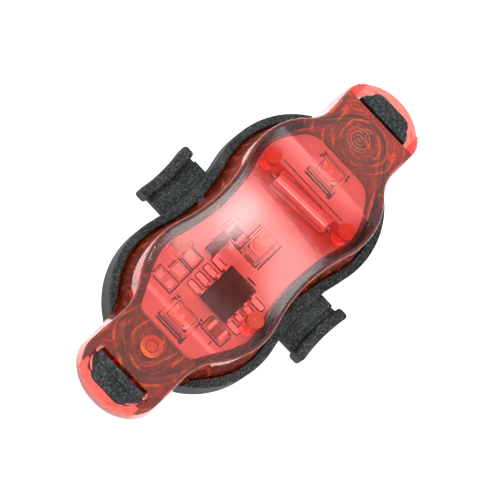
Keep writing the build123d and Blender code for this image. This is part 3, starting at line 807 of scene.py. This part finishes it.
@dataclass
class BoardPrint:
    """Printed lines, figures and outlines on the circuit board, in millimetres."""

    palette: Palette
    sink: float = 0.005
    ink: float = 0.03
    line: float = 0.18
    led_size: Pair = (2.75, 4.1)
    led_corner: float = 0.12
    led_mark: Pair = (0.55, 0.5)
    led_mark_corner: float = 0.1
    bar_line: float = 0.22
    bar_offset: float = 1.62
    bar_reach: float = 1.85
    pad_margin: float = 0.32
    slim_pad: tuple[Pair, Pair] = ((-2.33, 2.97), (-1.47, 5.28))
    square_pads: tuple[Pair, Pair] = ((-0.2, 3.75), (1.8, 3.8))
    square_pad_half: Pair = (0.55, 0.72)
    edge_line_x: float = 9.25
    edge_line_reach: Pair = (-4.7, 4.4)
    edge_line_width: float = 0.1
    part_frame: Pair = (1.85, 3.3)
    part_corner: float = 0.3
    mark_offsets: Pair = (0.35, 0.75)
    mark_reach: Pair = (0.6, 1.6)
    figure_height: float = 1.1
    first_figure: Pair = (-3.3, -4.2)
    second_figure: Pair = (-4.9, 4.9)
    third_figure: Pair = (0.7, 3.4)

    def build(self) -> list[Piece]:
        """Make all printed pieces.

        Returns:
            The pieces.
        """
        frames = [self.led_frames(), self.pad_frames(), self.edge_line(), self.part_frames()]
        return frames + self.figures()

    def levels(self) -> Pair:
        """Bottom and top of the ink, the bottom a little inside the board."""
        top = box_mm("circuit_board").high.z
        return top - self.sink, top + self.ink

    def lobe_x(self) -> float:
        """Middle of the near lobe of the board, where the near cell lies."""
        return box_mm("cell_near_can").middle.x

    def led_frames(self) -> Piece:
        """Outline of each LED, with a bar along either long side and a mark at one end.

        Returns:
            The piece.
        """
        solid = Solid("print_led_frames", self.palette["print_dark"])
        low, high = self.levels()
        for name, along_y in LED_LIES_ALONG_Y.items():
            middle = box_mm(f"led_{name}_terminals").middle.xy
            size = self.led_size if along_y else self.led_size[::-1]
            solid.frame(tuple(middle), size, self.led_corner, self.line, (low, high))
            offset = Vector((self.bar_offset, 0.0)) if along_y else Vector((0.0, self.bar_offset))
            reach = Vector((0.0, self.bar_reach)) if along_y else Vector((self.bar_reach, 0.0))
            for side in Side:
                centre = middle + offset * side.value
                solid.bar(tuple(centre - reach), tuple(centre + reach), self.bar_line, (low, high))
            mark = middle - offset - reach if along_y else middle + offset - reach
            outline = rounded(tuple(mark), self.led_mark, self.led_mark_corner)
            solid.prism(outline, (low, high + self.ink / 4))
        return solid.build()

    def pad_frames(self) -> Piece:
        """Frames round the bare solder pads.

        Returns:
            The piece.
        """
        solid = Solid("print_pad_frames", self.palette["print_dark"])
        lobe = self.lobe_x()
        (low_x, low_y), (high_x, high_y) = self.slim_pad
        self.add_loose_frame(solid, (lobe + low_x, low_y), (lobe + high_x, high_y))
        half_x, half_y = self.square_pad_half
        for x, y in self.square_pads:
            low = (lobe + x - half_x, y - half_y)
            self.add_loose_frame(solid, low, (lobe + x + half_x, y + half_y))
        return solid.build()

    def add_loose_frame(self, solid: Solid, low: Pair, high: Pair) -> None:
        """Add a frame in four bars, with a gap at one corner.

        Args:
            solid: The piece that takes the bars.
            low: The low corner of what is framed.
            high: The high corner.
        """
        left, bottom = low[0] - self.pad_margin, low[1] - self.pad_margin
        right, top = high[0] + self.pad_margin, high[1] + self.pad_margin
        for start, end in (
            ((left, bottom), (right, bottom)),
            ((right, bottom + self.line), (right, top)),
            ((right - self.line, top), (left + self.pad_margin, top)),
            ((left, top - self.pad_margin), (left, bottom + self.line)),
        ):
            solid.bar(start, end, self.line, self.levels())

    def edge_line(self) -> Piece:
        """Long thin line beside the cradle of the switch.

        Returns:
            The piece.
        """
        solid = Solid("print_edge_line", self.palette["print_dark"])
        start, end = ((self.edge_line_x, y) for y in self.edge_line_reach)
        solid.bar(start, end, self.edge_line_width, self.levels())
        return solid.build()

    def part_frames(self) -> Piece:
        """Frames round the capacitor and the resistor, and two short marks beside the chip.

        Returns:
            The piece.
        """
        solid = Solid("print_part_frames", self.palette["print_dark"])
        for node in ("capacitor_ends", "resistor_ends"):
            middle = tuple(box_mm(node).middle.xy)
            solid.frame(middle, self.part_frame, self.part_corner, self.line, self.levels())
        chip = box_mm("controller_body")
        start_y, end_y = (chip.low.y + reach for reach in self.mark_reach)
        for offset in self.mark_offsets:
            x = chip.high.x + offset
            solid.bar((x, start_y), (x, end_y), self.line, self.levels())
        return solid.build()

    def figures(self) -> list[Piece]:
        """Plain figures that number the parts, the first of them placed from the near lobe.

        Returns:
            The pieces.
        """
        first = (self.lobe_x() + self.first_figure[0], self.first_figure[1])
        level = self.levels()[0] + self.ink / 2
        made = []
        for name, text, (x, y), turn in (
            ("print_figure_one", "1", first, -90.0),
            ("print_figure_two", "2", self.second_figure, 0.0),
            ("print_figure_three", "3", self.third_figure, 0.0),
        ):
            curve = bpy.data.curves.new(name, "FONT")
            curve.body = text
            curve.size = self.figure_height * MM
            curve.extrude = self.ink * MM / 2
            curve.align_x = curve.align_y = "CENTER"
            source = link_new(name, curve)
            evaluated = source.evaluated_get(bpy.context.evaluated_depsgraph_get())
            data = bpy.data.meshes.new_from_object(evaluated)
            bpy.data.objects.remove(source)
            spot = Matrix.Translation((x * MM, y * MM, level * MM))
            data.transform(spot @ Matrix.Rotation(math.radians(turn), 4, "Z"))
            data.materials.clear()
            data.materials.append(self.palette["print_dark"])
            made.append(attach(link_new(name, data), HOUSING))
        return made


@dataclass
class LeadPads:
    """Long solder pads under the leads of the chip, with dark outlines and bright beads."""

    palette: Palette
    pad_width: float = 0.66
    pad_length: float = 1.75
    pad_gap: float = 0.18
    pad_height: float = 0.02
    pad_corner_share: float = 0.45
    line: float = 0.13
    line_height: float = 0.035
    sink: float = 0.005
    chip_pitch: float = 1.27
    chip_leads: int = 4
    bead_radius: float = 0.2
    bead_inset: float = 0.42
    bead_height_share: float = 0.9

    def build(self) -> list[Piece]:
        """Make the rows on both sides of the chip.

        Returns:
            The pieces.
        """
        top = box_mm("circuit_board").high.z
        chip = box_mm("controller_body")
        made = []
        for side in Side:
            edge = chip.high.y if side is Side.PLUS else chip.low.y
            middle = edge + side.value * (self.pad_length / 2 + self.pad_gap)
            heel = middle + side.value * (self.bead_inset - self.pad_length / 2)
            for name, finish, y, draw in (
                ("outlines", "print_dark", middle, self.outline),
                ("pads", "tinned", middle, self.pad),
                ("beads", "tinned", heel, self.bead),
            ):
                label = f"chip_{name}_{side.name.lower()}"
                row = Row(label, self.palette[finish], self.chip_leads, self.chip_pitch)
                made.append(row.build(draw(label), Vector((chip.middle.x, y, top)) * MM))
        return made

    def outline(self, name: str) -> Piece:
        """Dark rim of one pad.

        Args:
            name: The name of the row.

        Returns:
            The template.
        """
        solid = Solid(name + "_template", self.palette["print_dark"])
        size = (self.pad_width + 2 * self.line, self.pad_length + 2 * self.line)
        levels = (-self.sink, self.line_height)
        solid.frame((0.0, 0.0), size, self.pad_width / 2, self.line, levels)
        return solid.build(None)

    def pad(self, name: str) -> Piece:
        """Solder of one pad, low and with round corners.

        Args:
            name: The name of the row.

        Returns:
            The template.
        """
        solid = Solid(name + "_template", self.palette["tinned"])
        size = (self.pad_width, self.pad_length)
        outline = rounded((0.0, 0.0), size, self.pad_width * self.pad_corner_share)
        solid.prism(outline, (-self.sink, self.pad_height))
        return solid.build(None)

    def bead(self, name: str) -> Piece:
        """Bright bead of solder at the heel of a lead.

        Args:
            name: The name of the row.

        Returns:
            The template.
        """
        data = bpy.data.meshes.new(name + "_template")
        shape = bmesh.new()
        bmesh.ops.create_icosphere(shape, subdivisions=2, radius=self.bead_radius * MM)
        bmesh.ops.scale(shape, vec=(1.0, 1.0, self.bead_height_share), verts=shape.verts)
        shape.to_mesh(data)
        shape.free()
        return link_new(data.name, data)


@dataclass(frozen=True)
class Window:
    """The window in the top of one LED, turned as the LED lies on the board."""

    name: str
    centre: Vector
    turn: Matrix
    top: float

    def on_board(self, spot: Pair) -> Pair:
        """A place in the window, given from its middle, as a place on the board."""
        return tuple(self.turn @ Vector(spot) + self.centre)


@dataclass
class LedDetail:
    """Bright plates in the window of each LED and dark lines on it, those along the housing's top edges
    painted shade, in millimetres.
    """

    palette: Palette
    lift: float = 0.02
    line: float = 0.07
    # Dark lines on the window; those along the top edges of the housing are painted shade.
    shade_and_outline_lines: tuple[tuple[Pair, Pair], ...] = (
        ((-1.40, -1.05), (1.40, -1.05)),
        ((1.40, -1.05), (1.40, 1.05)),
        ((1.40, 1.05), (-1.40, 1.05)),
        ((-1.40, 1.05), (-1.40, -1.05)),
        ((-1.30, -0.85), (1.25, -0.85)),
        ((-1.15, 0.10), (-0.95, 0.55)),
        ((-0.95, 0.55), (-0.60, 0.80)),
        ((0.80, 0.55), (1.10, 0.45)),
        ((1.10, 0.45), (1.15, -0.10)),
        ((0.85, -0.45), (1.15, -0.60)),
    )
    corner_mark: tuple[Pair, ...] = ((-1.45, 1.10), (-1.45, 0.65), (-0.95, 1.10))
    plate_spots: tuple[Pair, ...] = ((-1.15, 0.45), (1.1, -0.2), (0.0, 0.0))
    plate_sizes: tuple[Pair, ...] = ((0.5, 0.75), (0.45, 0.8), (0.42, 0.42))
    plate_corner: float = 0.08

    def build(self) -> list[Piece]:
        """Make the details of the three LEDs.

        Returns:
            The pieces.
        """
        made = []
        for name, along_y in LED_LIES_ALONG_Y.items():
            resin = box_mm(f"led_{name}_resin")
            turn = Matrix.Rotation(math.pi / 2 if along_y else 0.0, 2)
            window = Window(name, resin.middle.xy, turn, resin.high.z)
            made += [self.shade_and_outlines(window), self.plates(window)]
        return made

    def shade_and_outlines(self, window: Window) -> Piece:
        """Dark lines round the window and across the ends of the housing; those along its top edges are
        painted shade.

        Args:
            window: The window of the LED.

        Returns:
            The piece.
        """
        # Dark ink, here partly painted shade along the housing's top edges.
        solid = Solid(f"led_{window.name}_contours", self.palette["print_dark"])
        levels = (window.top - self.lift / 2, window.top + self.lift)
        for start, end in self.shade_and_outline_lines:
            solid.bar(window.on_board(start), window.on_board(end), self.line, levels)
        solid.prism([window.on_board(spot) for spot in self.corner_mark], levels)
        return solid.build()

    def plates(self, window: Window) -> Piece:
        """Bright plates and the light-giving chip, seen through the window.

        Args:
            window: The window of the LED.

        Returns:
            The piece.
        """
        solid = Solid(f"led_{window.name}_plates", self.palette["tinned"])
        levels = (window.top - self.lift / 2, window.top + self.lift / 2)
        for spot, size in zip(self.plate_spots, self.plate_sizes):
            turned = tuple(abs(length) for length in window.turn @ Vector(size))
            solid.prism(rounded(window.on_board(spot), turned, self.plate_corner), levels)
        return solid.build()


@dataclass
class FrostedEnd:
    """Frosted marks inside the near pin and the posts of the cover, in millimetres."""

    palette: Palette
    thickness: float = 0.05
    pin_level: float = 9.0
    pin_radius: float = 1.3
    pin_offset: float = 1.1
    nose_radius: float = 3.2
    seal_growth: float = 0.55
    ring_radius: float = 0.75
    ring_line: float = 0.12
    ring_half_height: float = 0.01
    post_radius: float = 0.95
    post_y: float = 5.7
    post_level: float = 10.9
    near_post_offset: float = 1.0
    far_post_offset: float = 0.4

    def build(self) -> list[Piece]:
        """Make the marks of the posts and of the near pin.

        Returns:
            The pieces.
        """
        return self.posts() + self.pin()

    def posts(self) -> list[Piece]:
        """Round marks in the posts.

        Returns:
            One piece for either end of the light.
        """
        lobe = box_mm("cell_far_can").middle.x
        levels = (self.post_level, self.post_level + self.thickness)
        made = []
        for name, finish, x in (
            ("near_post_ends", "frosted_pale", self.near_post_offset - lobe),
            ("far_post_ends", "frosted_end", lobe - self.far_post_offset),
        ):
            marks = Solid(name, self.palette[finish])
            for side in Side:
                marks.prism(circle((x, side.value * self.post_y), self.post_radius), levels)
            made.append(marks.build())
        return made

    def pin(self) -> list[Piece]:
        """Frosted disc in the near pin, with a dark ring on it.

        The pin's place follows from the end of the seal, as the nose of the cover does.

        Returns:
            The disc and the ring.
        """
        seal_end = box_mm("seal_ring").high.x
        centre = (-(seal_end - self.seal_growth - self.nose_radius + self.pin_offset), 0.0)
        top = self.pin_level + self.thickness
        disc = Solid("near_pin_end", self.palette["frosted_end"])
        disc.prism(circle(centre, self.pin_radius), (self.pin_level, top))
        ring = Solid("near_pin_ring", self.palette["print_dark"])
        outer = circle(centre, self.ring_radius)
        inner = circle(centre, self.ring_radius - self.ring_line)
        ring.ring(outer, inner, (top - self.ring_half_height, top + self.ring_half_height))
        return [disc.build(), ring.build()]


@dataclass(frozen=True)
class Panel:
    """A glowing panel whose mirror image in the flat top of the cover fills a patch of it.

    The patch is in millimetres. The reach says how far off the panel stands, as a share of the
    camera's distance. With a level of its own the mirror lies that high inside the cover, and
    the panel isn't seen in gloss.
    """

    name: str
    patch: tuple[Pair, ...]
    strength: float
    reach: float = 1.05
    level: float | None = None


PANELS = (
    Panel("dim_panel", ((-30.0, -16.0), (30.0, -16.0), (30.0, 16.0), (-30.0, 16.0)), 0.2, reach=1.1),
    Panel(
        "wide_panel",
        (
            (2.4, -12.0), (2.7, -5.5), (3.6, 3.9), (3.6, 12.0), (-8.2, 12.0), (-8.2, 3.6),
            (-4.6, 3.4), (-1.2, 1.6), (-0.6, -1.4), (-3.4, -3.0), (-4.8, -4.4), (-5.2, -12.0),
        ),
        5.5,
    ),
    Panel("far_panel", ((9.6, -4.0), (14.5, -12.0), (14.5, 12.0), (8.6, 12.0)), 4.5),
    Panel("near_panel", ((-14.5, -12.0), (-8.4, -12.0), (-8.4, 12.0), (-14.5, 12.0)), 1.2),
    Panel(
        "bright_panel",
        ((-3.6, 2.4), (2.3, 2.4), (2.3, 5.1), (-1.6, 5.3), (-3.6, 3.6)),
        12.0,
        reach=1.0,
    ),
    Panel(
        "can_panel",
        ((-310.0, -60.0), (-250.0, -60.0), (-250.0, 90.0), (-310.0, 90.0)),
        14.0,
        reach=1.0,
        level=8.5,
    ),
)


@dataclass
class Studio:
    """White floor, white surroundings, one lamp, reflected panels and the camera."""

    tilt_x: float = 17.94
    tilt_y: float = 2.5
    roll: float = 44.22
    distance: float = 0.8
    pixels_per_mm: float = 9.2
    frame_pixels: float = 500.0
    sensor: float = 36.0
    clip: Pair = (0.01, 10.0)
    aim_height: float = 4.8
    aim_pixel: Pair = (248.11, 250.09)
    top_height: float = 11.8
    soft_light: float = 0.62
    seen_light: float = 1.12
    lamp_place: Triple = (0.04, 0.12, 0.69)
    lamp_size: float = 0.22
    lamp_power: float = 1.9
    floor_half: float = 0.6
    floor_level: float = -0.00005
    floor_color: Triple = (0.85, 0.85, 0.85)
    floor_glow: float = 0.8
    # Pink of the floor's glow seen through the cover: painted red light, as if cast on the floor through
    # the cover.
    floor_painted_red_light: Triple = (1.0, 0.42, 0.36)

    def axes(self) -> tuple[Vector, Vector, Vector]:
        """Right, up and back directions of the camera.

        Returns:
            The three directions.
        """
        slope_x = -math.tan(math.radians(self.tilt_x))
        slope_y = math.tan(math.radians(self.tilt_y))
        back = Vector((slope_x, slope_y, 1.0)).normalized()
        along = (Vector((1.0, 0.0, 0.0)) - back * back.x).normalized()
        across = back.cross(along)
        turn = math.radians(self.roll)
        right = along * math.cos(turn) - across * math.sin(turn)
        up = along * math.sin(turn) + across * math.cos(turn)
        return right, up, back

    def eye(self) -> Vector:
        """Where the camera stands."""
        return Vector((0.0, 0.0, self.aim_height * MM)) + self.axes()[2] * self.distance

    def add_camera(self) -> None:
        """Set up the camera of the photograph."""
        data = bpy.data.cameras.new("camera")
        data.sensor_width = self.sensor
        focal_pixels = self.pixels_per_mm * self.distance / MM
        data.lens = focal_pixels * self.sensor / self.frame_pixels
        data.shift_x = (self.frame_pixels / 2 - self.aim_pixel[0]) / self.frame_pixels
        data.shift_y = (self.aim_pixel[1] - self.frame_pixels / 2) / self.frame_pixels
        data.clip_start, data.clip_end = self.clip
        camera = link_new("camera", data)
        columns = [(*direction, 0.0) for direction in self.axes()] + [(*self.eye(), 1.0)]
        camera.matrix_world = Matrix(columns).transposed()
        bpy.context.scene.camera = camera

    def add_panel(self, panel: Panel) -> None:
        """Add one glowing panel, placed by mirroring its patch as the camera sees it.

        Args:
            panel: The panel.
        """
        mirror = self.top_height if panel.level is None else panel.level
        eye = self.eye()
        corners = []
        for x, y in panel.patch:
            point = Vector((x * MM, y * MM, mirror * MM))
            image = point + (point - eye) * panel.reach
            corners.append((image.x, image.y, 2 * mirror * MM - image.z))
        mesh = bpy.data.meshes.new(panel.name)
        mesh.from_pydata(corners, [], [tuple(range(len(corners)))])
        graph = Graph(panel.name)
        inputs = {"Color": (*WHITE, 1.0), "Strength": panel.strength}
        mesh.materials.append(graph.finish(graph.node("ShaderNodeEmission", inputs)))
        made = link_new(panel.name, mesh)
        made.visible_camera = False
        made.visible_shadow = False
        made.visible_glossy = panel.level is None

    def add_floor(self) -> None:
        """Add the white floor, which glows evenly for the eye, and pink through the red cover: painted
        red light, as if cast on the floor through the cover.
        """
        half = self.floor_half
        mesh = bpy.data.meshes.new("floor")
        square = ((-half, -half), (half, -half), (half, half), (-half, half))
        mesh.from_pydata([(x, y, self.floor_level) for x, y in square], [], [(0, 1, 2, 3)])
        graph = Graph("floor_white")
        paper = graph.node("ShaderNodeBsdfDiffuse", {"Color": (*self.floor_color, 1.0)})
        seen, mirrored, through = (
            graph.node("ShaderNodeLightPath", output=f"Is {kind} Ray")
            for kind in ("Camera", "Glossy", "Transmission")
        )
        # Through the cover the glow turns pink: painted red light on the floor.
        color = graph.mix(through, WHITE, self.floor_painted_red_light)
        rays = {0: seen + mirrored + through, 1: 1.0}
        share = graph.node("ShaderNodeMath", rays, operation="MINIMUM")
        inputs = {"Color": color, "Strength": share * self.floor_glow}
        glow = graph.node("ShaderNodeEmission", inputs)
        mesh.materials.append(graph.finish(graph.node("ShaderNodeAddShader", {0: paper, 1: glow})))
        link_new("floor", mesh)

    def add_lamp(self) -> None:
        """Add a soft square lamp that points at the middle of the light."""
        data = bpy.data.lights.new("key", "AREA")
        data.size = self.lamp_size
        data.energy = self.lamp_power
        lamp = link_new("key", data)
        lamp.location = self.lamp_place
        lamp.rotation_euler = (-Vector(self.lamp_place)).to_track_quat("-Z", "Y").to_euler()

    def add_surroundings(self) -> None:
        """Set up white surroundings that light the scene less than they show."""
        world = bpy.data.worlds.new("surroundings")
        bpy.context.scene.world = world
        world.use_nodes = True
        background = world.node_tree.nodes["Background"]
        background.inputs["Color"].default_value = (*WHITE, 1.0)
        path = world.node_tree.nodes.new("ShaderNodeLightPath")
        strength = world.node_tree.nodes.new("ShaderNodeMapRange")
        world.node_tree.links.new(path.outputs["Is Diffuse Ray"], strength.inputs["Value"])
        strength.inputs["To Min"].default_value = self.seen_light
        strength.inputs["To Max"].default_value = self.soft_light
        world.node_tree.links.new(strength.outputs["Result"], background.inputs["Strength"])

    def build(self) -> None:
        """Set up surroundings, floor, lamp, panels and camera."""
        self.add_surroundings()
        self.add_floor()
        self.add_lamp()
        for panel in PANELS:
            self.add_panel(panel)
        self.add_camera()
        bpy.context.scene.view_settings.view_transform = "Standard"


def main() -> None:
    """Build the light and its studio."""
    logging.basicConfig(level=logging.INFO)
    palette = Palette().build()
    for node in FrameDress(palette).build():
        LOG.info("dressed %s", node.name)
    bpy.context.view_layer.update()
    for assembly in (BoardPrint(palette), LeadPads(palette), LedDetail(palette), FrostedEnd(palette)):
        for piece in assembly.build():
            LOG.info("%s made %s", type(assembly).__name__, piece.name)
    Studio().build()


if __name__ == "__main__":
    main()
